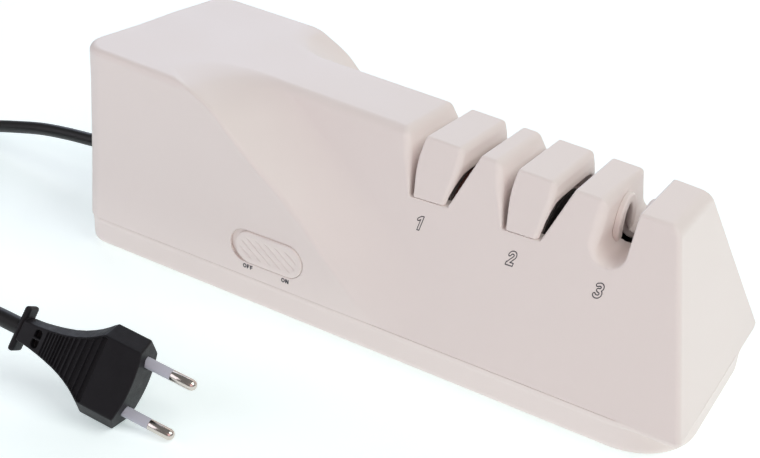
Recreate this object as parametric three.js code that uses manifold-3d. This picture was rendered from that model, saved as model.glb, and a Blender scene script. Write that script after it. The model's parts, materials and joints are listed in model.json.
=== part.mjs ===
// Electric knife sharpener with a motor bump, two V-slot grinding stages, one polishing channel,
// a front slide switch and a mains lead. Millimetres, +Z up, front of the body faces -Y.
// Construction frame: x runs from the cord end (0) to the polishing end, the group at the end
// shifts it so that the origin is the centre of the footprint.
import * as THREE from 'three';
import { mergeVertices } from 'three/addons/utils/BufferGeometryUtils.js';
import Module from 'manifold-3d';

const wasm = await Module();
wasm.setup();

// ---------------------------------------------------------------- driving dimensions
const LEN = 268.0;          // body length at the seam between upper housing and base
const WID = 93.8;           // body width at the seam
const SEAM_Z = 14.5;        // height of the seam above the table
const TOP_Z0 = 91.2;        // height of the top plane at x = 0
const TOP_FALL = 0.0634;    // fall of the top plane per mm of length
const BUMP_HALF = 46.1;     // half width of the motor bump
const RIDGE_HALF = 17.65;   // half width of the top of the narrow part
const END_LEAN = 0.347;     // lean of the polishing end
const CORD_END_DRAFT = 0.0325;
const WALL = 2.4;
const CORNER_R = 11.0;      // vertical corners at the cord end
const CENTRE_X = 134.0;     // middle of the body, becomes x = 0
const BASE_BOTTOM = 1.5;
const FLOOR_Z = 4.0;        // top of the base plate floor

const AXIS_Z = 45.0;        // spindle height
const WHEEL_R = 22.5;
const WHEEL_T = 4.2;
const SPINDLE_R = 4.0;
const FLOAT = 1.2;          // axial float of each wheel

// slot lines, x at two heights (guide wall of each slot) and cover sides
const NOTCH_FLOOR = 60.6;    // height that the slot walls are given at
const BASE_END_R = 24.0;     // vertical corners of the base at the polishing end
const RIM_Z = 12.5;          // underside of the rim that carries the housing past those corners
const NOTCHES = [
  { xl0: 149.7, xr0: 165.4, kl: 0.343, kr: 0.374, floor: 60.6 },   // stage 1
  { xl0: 187.1, xr0: 202.8, kl: 0.347, kr: 0.370, floor: 59.2 },   // stage 2
];
const COVERS = [             // [height, x of the left face, x of the right face]
  [[60.95, 151.3, 164.4], [68, 149.8, 165.3], [74, 149.25, 165.9], [82, 150.35, 165.6], [100, 152.8, 165.0]],
  [[59.55, 189.2, 201.6], [66, 187.8, 202.2], [73, 187.0, 202.5], [79.5, 187.55, 202.0], [100, 189.3, 200.6]],
];
const COVER_OPEN_Z = 69.8;  // top of the side openings over the wheels
const CH = { x0: 221.8, x1: 232.8, z: 57.6, r: 5.0 };   // polishing channel

const SW = { x: 99.3, z: 27.65, len: 34.6, h: 13.9 };    // switch recess
const KNOB = { len: 31.4, h: 13.1, travel: 2.6, rest: 1.3 };   // rest: middle of the knob from the middle of the slot

const CORD_D = 6.2;
const EXIT_Z = 22.0;
const RELIEF = 32.0;

// ---------------------------------------------------------------- helpers
const group = new THREE.Group();
const topZ = (x) => TOP_Z0 - TOP_FALL * x;

function solid(geo) {
  const g = geo.clone();
  for (const k of Object.keys(g.attributes)) if (k !== 'position') g.deleteAttribute(k);
  const m = mergeVertices(g, 1e-4);
  const pos = m.attributes.position;
  const idx = m.index.array;
  return new wasm.Manifold(new wasm.Mesh({
    numProp: 3,
    vertProperties: new Float32Array(pos.array),
    triVerts: new Uint32Array(idx),
  }));
}
function toGeometry(man) {
  const m = man.getMesh();
  const g = new THREE.BufferGeometry();
  g.setAttribute('position', new THREE.BufferAttribute(new Float32Array(m.vertProperties), 3));
  g.setIndex(new THREE.BufferAttribute(new Uint32Array(m.triVerts), 1));
  g.computeVertexNormals();
  return g;
}
const M = (color, roughness, metalness = 0) => new THREE.MeshStandardMaterial({ color, roughness, metalness });
function put(name, shape, material) {
  const geo = shape instanceof THREE.BufferGeometry ? shape : toGeometry(shape);
  const mesh = new THREE.Mesh(geo, material);
  mesh.name = name;
  group.add(mesh);
  return mesh;
}
function box(x0, x1, y0, y1, z0, z1) {
  const g = new THREE.BoxGeometry(x1 - x0, y1 - y0, z1 - z0);
  g.translate((x0 + x1) / 2, (y0 + y1) / 2, (z0 + z1) / 2);
  return g;
}
// solid of revolution about the line (y, z) = (cy, cz), profile points are [radius, x]
function turned(profile, cy, cz, segments = 32) {
  const pts = profile.map(([r, x]) => new THREE.Vector2(r, x));
  const closed = profile[0][0] > 1e-6;
  if (closed) pts.push(pts[0].clone());
  const g = new THREE.LatheGeometry(pts, segments);
  g.rotateZ(-Math.PI / 2);           // lathe axis Y becomes X
  g.translate(0, cy, cz);
  return g;
}
// solid of revolution about a vertical line through (cx, cy), profile points are [radius, z]
function turnedZ(profile, cx, cy, segments = 24) {
  const pts = profile.map(([r, z]) => new THREE.Vector2(r, z));
  if (profile[0][0] > 1e-6) pts.push(pts[0].clone());
  const g = new THREE.LatheGeometry(pts, segments);
  g.rotateX(Math.PI / 2);
  g.translate(cx, cy, 0);
  return g;
}
// polygon in the XZ plane, extruded along Y from y0 to y1
function prismXZ(pts, y0, y1) {
  const s = new THREE.Shape(pts.map(([x, z]) => new THREE.Vector2(x, z)));
  const g = new THREE.ExtrudeGeometry(s, { depth: y1 - y0, bevelEnabled: false, curveSegments: 12 });
  g.rotateX(Math.PI / 2);            // (x, z, depth) -> (x, -depth, z)
  g.translate(0, y1, 0);
  return g;
}
// polygon in the YZ plane, extruded along X from x0 to x1
function prismYZ(pts, x0, x1) {
  const s = new THREE.Shape(pts.map(([y, z]) => new THREE.Vector2(y, z)));
  const g = new THREE.ExtrudeGeometry(s, { depth: x1 - x0, bevelEnabled: false, curveSegments: 12 });
  g.applyMatrix4(new THREE.Matrix4().set(0, 0, 1, x0, 1, 0, 0, 0, 0, 1, 0, 0, 0, 0, 0, 1));
  return g;
}
// rounded rectangle skinned over levels [z, inset]; rl and rr are the corner radii at the two ends
function tub(x0, x1, y0, y1, rl, rr, levels, n = 4) {
  const per = n + 1, N = 4 * per;
  const ring = [];
  for (let i = 0; i < N; i++) { const a = 2 * Math.PI * (i + 0.5) / N; ring.push(new THREE.Vector2(Math.cos(a), Math.sin(a))); }
  const g = new THREE.ExtrudeGeometry(new THREE.Shape(ring), { depth: levels.length - 1, steps: levels.length - 1, bevelEnabled: false });
  const p = g.attributes.position;
  const quadrant = [[x1, y1, rr, 1, 1], [x0, y1, rl, -1, 1], [x0, y0, rl, -1, -1], [x1, y0, rr, 1, -1]];
  for (let i = 0; i < p.count; i++) {
    let k = Math.round(Math.atan2(p.getY(i), p.getX(i)) / (2 * Math.PI) * N - 0.5);
    k = ((k % N) + N) % N;
    const [z, inset] = levels[Math.round(p.getZ(i))];
    const [cx, cy, r, sx, sy] = quadrant[Math.floor(k / per)];
    const rad = Math.max(r - inset, 0.6), a = Math.PI / 2 * (Math.floor(k / per) + (k % per) / n);
    p.setXYZ(i, cx - sx * (inset + rad) + rad * Math.cos(a), cy - sy * (inset + rad) + rad * Math.sin(a), z);
  }
  return g;
}
const underEdge = (z0, r, z1) => {
  const out = [];
  for (let i = 0; i <= 3; i++) { const t = Math.PI / 2 * i / 3; out.push([z0 + r * (1 - Math.cos(t)), r * (1 - Math.sin(t))]); }
  return out.concat([[z1, 0]]);
};
// stadium in the XZ plane, extruded along Y
function stadium(cx, cz, len, h, y0, y1, n = 10) {
  const r = h / 2, a = len / 2 - r, pts = [];
  for (let i = 0; i <= n; i++) { const t = -Math.PI / 2 + Math.PI * i / n; pts.push([cx + a + r * Math.cos(t), cz + r * Math.sin(t)]); }
  for (let i = 0; i <= n; i++) { const t = Math.PI / 2 + Math.PI * i / n; pts.push([cx - a + r * Math.cos(t), cz + r * Math.sin(t)]); }
  return prismXZ(pts, y0, y1);
}
function ovalYZ(cy, cz, ry, rz, x0, x1, n = 24) {
  const pts = [];
  for (let i = 0; i < n; i++) { const t = 2 * Math.PI * i / n; pts.push([cy + ry * Math.cos(t), cz + rz * Math.sin(t)]); }
  return prismYZ(pts, x0, x1);
}

// ---------------------------------------------------------------- outer surface of the housing
// crease where the flat side of the bump turns in: x as a function of height
const CREASE = [[8.5, 154.7], [35.5, 125], [42.5, 118], [48, 112], [55.2, 104], [59.8, 97.5], [66.9, 88.1], [73.3, 80.5], [77.3, 76.5], [80.2, 72.5], [82.6, 68.1], [84.9, 63.3], [86.5, 60.5], [87.4, 58], [88, 55], [92, 45]];
// radius of the hollow between the turned-in wall and the narrow ridge
const HOLLOW_R = [[8, 250], [14.5, 200], [25, 150], [40, 80], [55, 40], [75, 25], [88, 20]];
function table(t, v) {
  if (v <= t[0][0]) return t[0][1];
  for (let i = 1; i < t.length; i++) if (v <= t[i][0]) {
    const [a, fa] = t[i - 1], [b, fb] = t[i];
    return fa + (fb - fa) * (v - a) / (b - a);
  }
  return t[t.length - 1][1];
}
// an inner surface follows the crease at the wall thickness, measured square to the sloping wall
const creaseX = (z, inset) => table(CREASE, z + 0.78 * inset) - 0.62 * inset;
const ridgeAt = (x, z) => WID / 2 - (WID / 2 - RIDGE_HALF) * (z - SEAM_Z) / (topZ(x) - SEAM_Z);
const bumpAt = (z) => BUMP_HALF + (WID / 2 - BUMP_HALF) * Math.max(0, 1 - (z - SEAM_Z) / 30);
// the turn from bump to ridge at one height: q = 1 at the crease, 0 where the ridge begins.
// Returns [distance behind the crease, height above the ridge wall].
function turn(x, z, q) {
  const real = Math.max(0, bumpAt(z) - ridgeAt(x, z)), s = Math.max(real, 0.8), R = table(HOLLOW_R, z);
  const low = Math.min(s, R), end = Math.acos((R - low) / R), run = R * end + (s - low);
  const at = q * run, arc = Math.min(at, R * end);
  const reach = R * Math.sin(end);
  return [reach - R * Math.sin(arc / R), (R * (1 - Math.cos(arc / R)) + (at - arc)) * real / s];
}
function halfWidth(x, z, inset, fillet, above) {
  const H = topZ(x);
  let w = (above === undefined ? ridgeAt(x, z) : above) - inset;
  const top = H - inset;
  if (z > top - fillet) { const d = z - (top - fillet); w -= fillet - Math.sqrt(Math.max(0, fillet * fillet - d * d)); }
  const R = CORNER_R - inset, dx = x - inset;
  if (dx < R) w -= R - Math.sqrt(Math.max(0, R * R - (R - dx) ** 2));
  return w;
}
// body skinned over sections along x. A section is a fixed x, or { q } along the turn from the ridge
// (q = 0) to the crease (q = 1), so that the crease stays crisp.
function skin(inset, fillet, zBottom, xEnd, fine) {
  const fixed = (x) => ({ x: inset + x * (CORNER_R - inset) / CORNER_R });
  const sections = (fine ? [0, 1.2, 3.5, 7, 11] : [0, 3.5, 11]).map(fixed)
    .concat([{ x: 34 }])
    .concat((fine ? [1, 0.86, 0.72, 0.58, 0.43, 0.28, 0.14, 0] : [1, 0.7, 0.35, 0]).map((q) => ({ q })))
    .concat([{ x: xEnd }]);
  const levels = fine ? [0, 0.2, 0.38, 0.52, 0.64, 0.75, 0.85, 0.92, 0.954, 0.975, 0.99, 1]
    : [0, 0.24, 0.44, 0.62, 0.76, 0.88, 0.96, 0.985, 1];
  const K = levels.length, N = 2 * K;
  const ring = [];
  for (let i = 0; i < N; i++) { const a = 2 * Math.PI * i / N; ring.push(new THREE.Vector2(Math.cos(a), Math.sin(a))); }
  const g = new THREE.ExtrudeGeometry(new THREE.Shape(ring), { depth: sections.length - 1, steps: sections.length - 1, bevelEnabled: false });
  const p = g.attributes.position;
  for (let i = 0; i < p.count; i++) {
    let k = Math.round(Math.atan2(p.getY(i), p.getX(i)) / (2 * Math.PI) * N);
    k = ((k % N) + N) % N;
    const sec = sections[Math.round(p.getZ(i))];
    const right = k < K;
    const lv = right ? levels[k] : levels[N - 1 - k];
    let x = sec.x ?? 80, z = 50, above = 0;
    for (let pass = 0; pass < 40; pass++) {
      z = zBottom + (topZ(x) - inset - zBottom) * lv;
      if (sec.q !== undefined) {
        const [back, up] = turn(x, z, sec.q);
        x = 0.5 * (x + creaseX(z, inset) + back);
        above = ridgeAt(x, z) + up;
      }
    }
    const dx = x - inset;
    const drop = dx < 4 ? 4 - Math.sqrt(16 - (4 - dx) ** 2) : 0;
    z -= drop * lv;
    const zz = Math.min(z + drop, topZ(x) - inset);
    const wide = sec.q !== undefined ? above : x < 60 ? bumpAt(zz) : ridgeAt(x, zz);
    const w = halfWidth(x, zz, inset, fillet, wide);
    const xx = x + CORD_END_DRAFT * (z - SEAM_Z) * Math.max(0, 1 - x / 60);
    p.setXYZ(i, xx, right ? w : -w, z);
  }
  // (section, step) -> (x, y, z) keeps the winding of the extrusion
  return g;
}
function endCut(offset) {            // everything beyond the leaning polishing end
  const a = LEN + END_LEAN * SEAM_Z - offset;
  return prismXZ([[a - END_LEAN * -40, -40], [a - END_LEAN * 130, 130], [LEN + 90, 130], [LEN + 90, -40]], -80, 80);
}
const notchPoly = (n, grow) => {
  const k = (dz) => dz - NOTCH_FLOOR;
  const zb = n.floor - grow;
  const gl = grow * Math.sqrt(1 + n.kl * n.kl), gr = grow * Math.sqrt(1 + n.kr * n.kr);
  return [
    [n.xl0 - gl - n.kl * k(zb), zb], [n.xr0 + gr + n.kr * k(zb), zb],
    [n.xr0 + gr + n.kr * k(110), 110], [n.xl0 - gl - n.kl * k(110), 110],
  ];
};
const channelPoly = (grow) => {
  const x0 = CH.x0 - grow, x1 = CH.x1 + grow, zb = CH.z - grow, r = CH.r + grow, pts = [];
  for (let i = 0; i <= 6; i++) { const t = Math.PI + (Math.PI / 2) * i / 6; pts.push([x0 + r + r * Math.cos(t), zb + r + r * Math.sin(t)]); }
  for (let i = 0; i <= 6; i++) { const t = 1.5 * Math.PI + (Math.PI / 2) * i / 6; pts.push([x1 - r + r * Math.cos(t), zb + r + r * Math.sin(t)]); }
  pts.push([x1, 110], [x0, 110]);
  return pts;
};

const outer = solid(skin(0, 3.5, SEAM_Z, 275, true)).subtract(solid(endCut(0)));
let cavity = solid(skin(WALL, 2.5, SEAM_Z - 6, 275, false)).subtract(solid(endCut(2.6)));
for (const n of NOTCHES) cavity = cavity.subtract(solid(prismXZ(notchPoly(n, 1.9), -80, 80)));
cavity = cavity.subtract(solid(prismXZ(channelPoly(1.8), -80, 80)));

const white = () => M('#dcd3d0', 0.55);
const POSTS = [[20, 33], [20, -33], [235, 31], [235, -31]];
let housing = outer.subtract(cavity);
for (const [px, py] of POSTS) {       // screw posts, tied into the shell above them
  const post = solid(turnedZ([[0, SEAM_Z + 0.3], [3.9, SEAM_Z + 0.3], [3.9, 95], [0, 95]], px, py, 10));
  housing = housing.add(post.intersect(outer));
}
for (const n of NOTCHES) housing = housing.subtract(solid(prismXZ(notchPoly(n, 0), -80, 80)));
housing = housing.subtract(solid(prismXZ(channelPoly(0), -80, 80)));
// floor openings through which the wheels reach the slots
housing = housing.subtract(solid(box(150.9, 164.6, -20, 20, 50, NOTCH_FLOOR + 1)));
housing = housing.subtract(solid(box(188.3, 202.0, -20, 20, 50, NOTCH_FLOOR + 1)));
// windows beside the polishing wheels
housing = housing.subtract(solid(ovalYZ(0, 65, 5.6, 7.2, CH.x0 - 4, CH.x1 + 4, 16)));
// switch slot, cord bush hole and the pilot holes of the posts
housing = housing.subtract(solid(stadium(SW.x, SW.z, SW.len, SW.h, -60, -40, 8)));
housing = housing.subtract(solid(turned([[0, -20], [5.4, -20], [5.4, 8], [0, 8]], 0, EXIT_Z, 20)));
for (const [px, py] of POSTS) housing = housing.subtract(solid(turnedZ([[0, 0], [1.8, 0], [1.8, 25], [0, 25]], px, py, 8)));
put('upper_housing', housing, white());

// ---------------------------------------------------------------- base plate
let base = solid(tub(0.5, LEN, -46.5, 46.5, CORNER_R, BASE_END_R, underEdge(BASE_BOTTOM, 3.6, SEAM_Z - 0.3), 8));
base = base.add(solid(tub(0.5, LEN, -46.5, 46.5, CORNER_R, 2.5, [[RIM_Z, 0.5], [RIM_Z + 0.5, 0], [SEAM_Z - 0.3, 0]], 8)));
base = base.subtract(solid(tub(3.0, LEN - 2.6, -44, 44, CORNER_R - 2.5, BASE_END_R - 2.5, underEdge(FLOOR_Z, 2.2, 40), 8)));
const bossZ = SEAM_Z - 0.3;
for (const [px, py] of POSTS) base = base.add(solid(turnedZ([[0, 3], [4.8, 3], [4.8, bossZ], [0, bossZ]], px, py, 12)));
// cradle under the motor, open in the middle for the lead
for (const s of [-1, 1]) base = base.add(solid(box(26, 34, s * 9.5 - 4.5, s * 9.5 + 4.5, 3, 30)).subtract(solid(turned([[0, 20], [25.2, 20], [25.2, 40], [0, 40]], 0, AXIS_Z, 28))));
for (const s of [-1, 1]) base = base.add(solid(box(14.5, 19.5, s * 8.5 - 3, s * 8.5 + 3, 3, 25.3)));
for (const x of [42, 74]) for (const y of [-18, 18]) base = base.add(solid(box(x - 2, x + 2, y - 3, y + 3, 3, 6.2)));
for (const [px, py] of POSTS) {
  base = base.subtract(solid(turnedZ([[0, -2], [3.3, -2], [3.3, 6], [0, 6]], px, py, 10)));
  base = base.subtract(solid(turnedZ([[0, 0], [1.9, 0], [1.9, 40], [0, 40]], px, py, 8)));
}
for (const s of [-1, 1]) base = base.subtract(solid(turnedZ([[0, 14], [1.75, 14], [1.75, 40], [0, 40]], 17, s * 8.5, 8)));
put('base_plate', base, white());

const rubber = () => M('#2a2a2b', 0.85);
const steel = () => M('#b9bcc0', 0.3, 1);
const FEET = { front_left: [40, -31], back_left: [40, 31], front_right: [216, -31], back_right: [216, 31] };
for (const [k, [fx, fy]] of Object.entries(FEET)) {
  put(`foot_${k}`, turnedZ([[0, 0], [6.2, 0], [7, 0.5], [7, BASE_BOTTOM - 0.3], [0, BASE_BOTTOM - 0.3]], fx, fy, 12), rubber());
}
['back_left', 'front_left', 'back_right', 'front_right'].forEach((k, i) => {
  const [px, py] = POSTS[i];
  put(`base_screw_${k}`, turnedZ([[0, 3.7], [2.8, 3.7], [2.8, 5.7], [1.5, 5.7], [1.5, 22], [0, 22]], px, py, 8), steel());
});

// ---------------------------------------------------------------- covers over the grinding wheels
const innerHalf = (z, x) => halfWidth(x, z, 0, 0) - 1.7;
COVERS.forEach((c, i) => {
  const [, x0b, x1b] = c[0];
  const sides = c.map(([z, x0]) => [x0, z]).concat([...c].reverse().map(([z, , x1]) => [x1, z]));
  let cover = outer.intersect(solid(prismXZ(sides.reverse(), -80, 80)));
  const xm = (x0b + x1b) / 2;
  const top = topZ(xm) - 3.0;
  // hollow for the wheels, open below
  const hollow = [];
  const zs = [50, 62, 66, 70, 74, top];
  for (const z of zs) hollow.push([innerHalf(z, xm) - 0.6, z]);
  for (const z of [...zs].reverse()) hollow.push([-innerHalf(z, xm) + 0.6, z]);
  cover = cover.subtract(solid(prismYZ(hollow, x0b + 1.2, x1b - 1.2)));
  // side openings, rounded at the top corners
  const open = [[innerHalf(58, xm), 58], [innerHalf(61, xm), 61], [innerHalf(64, xm), 64], [19.0, 67.6], [15.8, 69.3], [12, COVER_OPEN_Z]];
  const side = open.concat([...open].reverse().map(([y, z]) => [-y, z]));
  cover = cover.subtract(solid(prismYZ(side, x0b - 5, x1b + 5)));
  put(`stage_${i + 1}_cover`, cover, white());
});

// raised guide rings on both walls of the polishing channel
function guideRing(x0, x1) {
  const dir = Math.sign(x1 - x0), a = Math.min(x0, x1), b = Math.max(x0, x1);
  let ring = solid(ovalYZ(0, 64.5, 11, 11.8, a, b, 20));
  ring = ring.add(solid(ovalYZ(0, 64.5, 9.6, 10.4, dir > 0 ? b - 0.6 : a - 0.6, dir > 0 ? b + 0.6 : a + 0.6, 20)));
  ring = ring.intersect(solid(prismXZ(channelPoly(-0.3), -80, 80)));
  return ring.subtract(solid(ovalYZ(0, 65, 5, 6.8, a - 5, b + 5, 16)));
}
put('stage_3_guide_left', guideRing(CH.x0 + 0.3, CH.x0 + 2.2), white());
put('stage_3_guide_right', guideRing(CH.x1 - 0.3, CH.x1 - 2.2), white());

// ---------------------------------------------------------------- wheels, spindle, springs
// working face at xf, body behind it in direction s, spring pocket in the back
function wheel(xf, s) {
  const T = WHEEL_T;
  const p = [[SPINDLE_R + 0.1, 0], [WHEEL_R, 0], [WHEEL_R, T], [9.5, T], [9.5, T - 2.4], [SPINDLE_R + 0.1, T - 2.4]];
  const prof = p.map(([r, u]) => [r, xf + s * u]);
  return turned(s > 0 ? prof : prof.reverse(), 0, AXIS_Z, 24);
}
const diamond = () => M('#4a1f18', 0.8, 0.1), resin = () => M('#2b2422', 0.85), polish = () => M('#3d3230', 0.9);
const F1L = 151.8, F1R = 163.5, F2L = 189.2, F2R = 200.9, F3L = 219.4, F3R = 235.2;
put('wheel_1_left', wheel(F1L, 1), diamond());
put('wheel_1_right', wheel(F1R, -1), diamond());
put('wheel_2_left', wheel(F2L, 1), resin());
put('wheel_2_right', wheel(F2R, -1), resin());
put('wheel_3_left', wheel(F3L, -1), polish());
put('wheel_3_right', wheel(F3R, 1), polish());

put('spindle', turned([[0, 93.1], [SPINDLE_R, 93.1], [SPINDLE_R, 252], [0, 252]], 0, AXIS_Z, 16), steel());
const ringAt = (x) => turned([[SPINDLE_R + 0.3, x], [7.2, x], [7.2, x + 0.8], [SPINDLE_R + 0.3, x + 0.8]], 0, AXIS_Z, 14);
put('retaining_ring_1_left', ringAt(F1L - 1.1), steel());
put('retaining_ring_1_right', ringAt(F1R + 0.3), steel());
put('retaining_ring_2_left', ringAt(F2L - 1.1), steel());
put('retaining_ring_2_right', ringAt(F2R + 0.3), steel());
const collar = (x0, x1) => turned([[SPINDLE_R + 0.3, x0], [8, x0], [8, x1], [SPINDLE_R + 0.3, x1]], 0, AXIS_Z, 16);
put('spindle_collar_left', collar(205.5, 208.5), steel());
put('spindle_collar_right', collar(243.0, 245.0), steel());

// compression spring about the spindle between x0 and x1
function spring(x0, x1, turns) {
  const r = 6.5, wr = 0.55, n = Math.round(turns * 8), pts = [];
  for (let i = 0; i <= n; i++) {
    const t = i / n, a = 2 * Math.PI * turns * t;
    pts.push(new THREE.Vector3(x0 + wr + (x1 - x0 - 2 * wr) * t, r * Math.cos(a), AXIS_Z + r * Math.sin(a)));
  }
  const s = new THREE.Shape();
  for (let i = 0; i < 4; i++) { const a = i * Math.PI / 2; s[i ? 'lineTo' : 'moveTo'](wr * Math.cos(a), wr * Math.sin(a)); }
  return new THREE.ExtrudeGeometry(s, { steps: n, bevelEnabled: false, extrudePath: new THREE.CatmullRomCurve3(pts) });
}
const pocket = WHEEL_T - 2.4;
put('spring_1', spring(F1L + pocket + FLOAT + 0.2, F1R - pocket - FLOAT - 0.2, 2.5), steel());
put('spring_2', spring(F2L + pocket + FLOAT + 0.2, F2R - pocket - FLOAT - 0.2, 2.5), steel());
put('spring_3_left', spring(208.8, F3L - pocket - FLOAT - 0.2, 3.5), steel());
put('spring_3_right', spring(F3R + pocket + FLOAT + 0.2, 242.7, 2), steel());

// bearings and their blocks
const sinter = () => M('#9a7b45', 0.45, 0.9), nylon = () => M('#e6e4df', 0.6);
function bearingBlock(x0, x1, zTop) {
  let b = solid(box(x0, x1, -13, 13, FLOOR_Z + 0.3, zTop));
  b = b.add(solid(box(x0 - 3, x0 + 0.5, -13, 13, FLOOR_Z + 0.3, FLOOR_Z + 3)));
  return b.subtract(solid(turned([[0, x0 - 5], [8.3, x0 - 5], [8.3, x1 + 5], [0, x1 + 5]], 0, AXIS_Z, 16)));
}
put('bearing_block_left', bearingBlock(116, 122, 56), nylon());
put('bearing_block_right', bearingBlock(246, 250.4, 54.5), nylon());
const bush = (x0, x1) => turned([[SPINDLE_R + 0.09, x0], [8, x0], [8, x1], [SPINDLE_R + 0.09, x1]], 0, AXIS_Z, 16);
put('bearing_bush_left', bush(115.6, 122.4), sinter());
put('bearing_bush_right', bush(245.6, 250.8), sinter());

// ---------------------------------------------------------------- motor and coupling
const zinc = () => M('#8f9499', 0.4, 0.9);
put('motor_can', turned([[2.8, 22], [21, 22], [22, 23], [22, 76], [20.2, 76], [20.2, 24], [2.8, 24]], 0, AXIS_Z, 24), zinc());
let cap = solid(turned([[2.8, 76.3], [22, 76.3], [22, 79.7], [2.8, 79.7]], 0, AXIS_Z, 24));
for (const s of [-1, 1]) cap = cap.subtract(solid(turned([[0, 70], [1.75, 70], [1.75, 90], [0, 90]], s * 14, AXIS_Z, 8)));
put('motor_end_cap', cap, M('#1e1e20', 0.6));
put('rotor', turned([[0, 18.5], [2.5, 18.5], [2.5, 30], [16.5, 30], [16.5, 62], [2.5, 62], [2.5, 66], [7, 66], [7, 73], [2.5, 73], [2.5, 92.5], [0, 92.5]], 0, AXIS_Z, 16), M('#7a4a2a', 0.4, 0.8));
let bracket = solid(box(80, 83, -23, 23, FLOOR_Z + 0.3, 68)).add(solid(box(82.5, 94, -23, 23, FLOOR_Z + 0.3, FLOOR_Z + 3.3)));
bracket = bracket.subtract(solid(turned([[0, 70], [6, 70], [6, 90], [0, 90]], 0, AXIS_Z, 16)));
for (const s of [-1, 1]) bracket = bracket.subtract(solid(turned([[0, 70], [1.75, 70], [1.75, 90], [0, 90]], s * 14, AXIS_Z, 8)));
put('motor_bracket', bracket, zinc());
put('motor_screw_front', turned([[0, 76.8], [1.45, 76.8], [1.45, 83.3], [2.8, 83.3], [2.8, 85.2], [0, 85.2]], -14, AXIS_Z, 8), steel());
put('motor_screw_back', turned([[0, 76.8], [1.45, 76.8], [1.45, 83.3], [2.8, 83.3], [2.8, 85.2], [0, 85.2]], 14, AXIS_Z, 8), steel());
put('motor_cushion', turned([[22.3, 26.5], [24.9, 26.5], [24.9, 33.5], [22.3, 33.5]], 0, AXIS_Z, 24), rubber());
put('shaft_coupling', turned([[2.8, 86.5], [8, 86.5], [8, 101], [4.3, 101], [4.3, 92.8], [2.8, 92.8]], 0, AXIS_Z, 16), rubber());

// ---------------------------------------------------------------- switch and electrics
const KX = SW.x + KNOB.rest;                           // rests at the ON end
let knob = solid(stadium(KX, SW.z, KNOB.len, KNOB.h, -46.9, -41.6, 8));
knob = knob.add(solid(box(KX - 20, KX + 20, -42.0, -41.0, SW.z - 8.2, SW.z + 8.2)));
put('switch_knob', knob, white());
put('switch_body', box(SW.x - 11, SW.x + 11, -40.7, -29, SW.z - 6.5, SW.z + 6.5), M('#1b1b1c', 0.5));
put('circuit_board', box(40.5, 75.5, -24, 24, 6.5, 8.1), M('#2f6b3a', 0.5));
put('capacitor', turned([[0, 46], [5, 46], [5, 62], [0, 62]], -12, 13.4, 12), M('#1d2a5a', 0.4));

// ---------------------------------------------------------------- mains lead
const black = () => M('#1c1b1d', 0.5);
put('strain_relief', turned([[0, -RELIEF], [3.9, -RELIEF], [7.2, -5], [7.2, -0.3], [5.1, -0.3], [5.1, 3.2], [7.8, 3.2], [7.8, 5.6], [5.1, 5.6], [5.1, 12], [0, 12]], 0, EXIT_Z, 12), black());
let clamp = solid(box(14.5, 19.5, -11.5, 11.5, 25.6, 28.2));
for (const s of [-1, 1]) clamp = clamp.subtract(solid(turnedZ([[0, 20], [1.75, 20], [1.75, 40], [0, 40]], 17, s * 8.5, 8)));
put('cord_clamp', clamp, nylon());
for (const [k, s] of [['front', -1], ['back', 1]]) {
  put(`clamp_screw_${k}`, turnedZ([[0, 16], [1.45, 16], [1.45, 28.5], [2.7, 28.5], [2.7, 30.2], [0, 30.2]], 17, s * 8.5, 8), steel());
}
// path point lists are in the construction frame
export const ROUTE_A = [[-RELIEF - 0.3, 0, 22.0], [-42, 0, 21.4], [-57.6, 0, 20.2], [-74.6, 0, 17.9], [-93.9, 0, 13.7], [-109.3, 0, 9.6], [-122, -0.4, 5.6], [-133, -3, 3.6], [-143, -9.5, 3.1], [-149.5, -19, 3.1], [-152, -30, 3.1], [-152.1, -43, 3.1]];
export const COIL = { x: -114, y: -70, rIn: 28.2, rOut: 41.2, h: 12.6 };
export const ROUTE_B = [[-91.5, -108.1, 3.1], [-75, -111.6, 3.1], [-58, -117.4, 3.1], [-42, -123.8, 3.3], [-27, -129.2, 5.3], [-11, -133.6, 11.0], [5, -136.2, 18.0], [20, -137.2, 23.4], [34, -136.5, 25.9], [47, -135.05, 25.4], [59.05, -133.19, 23.28]];
function cordTube(points, sides = 8) {
  const curve = new THREE.CatmullRomCurve3(points.map((p) => new THREE.Vector3(...p)));
  const s = new THREE.Shape();
  const r = CORD_D / 2;
  for (let i = 0; i < sides; i++) { const a = 2 * Math.PI * (i + 0.5) / sides; s[i ? 'lineTo' : 'moveTo'](r * Math.cos(a), r * Math.sin(a)); }
  const steps = Math.round(curve.getLength() / (2.4 * CORD_D));
  return new THREE.ExtrudeGeometry(s, { steps, bevelEnabled: false, extrudePath: curve });
}
put('inner_cord', cordTube([[12.4, 0, 22], [14.5, 0, 22], [18, 0, 20.8], [22, 0, 17.3], [27, 0, 13.2], [33, 0, 11.8], [38, 0, 11.6]]), black());
put('mains_cord', cordTube(ROUTE_A), black());
put('cord_coil', turnedZ([[COIL.rIn, 0], [COIL.rOut, 0], [COIL.rOut, COIL.h], [COIL.rIn, COIL.h]], COIL.x, COIL.y, 28), black());
put('plug_lead', cordTube(ROUTE_B), black());

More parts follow.
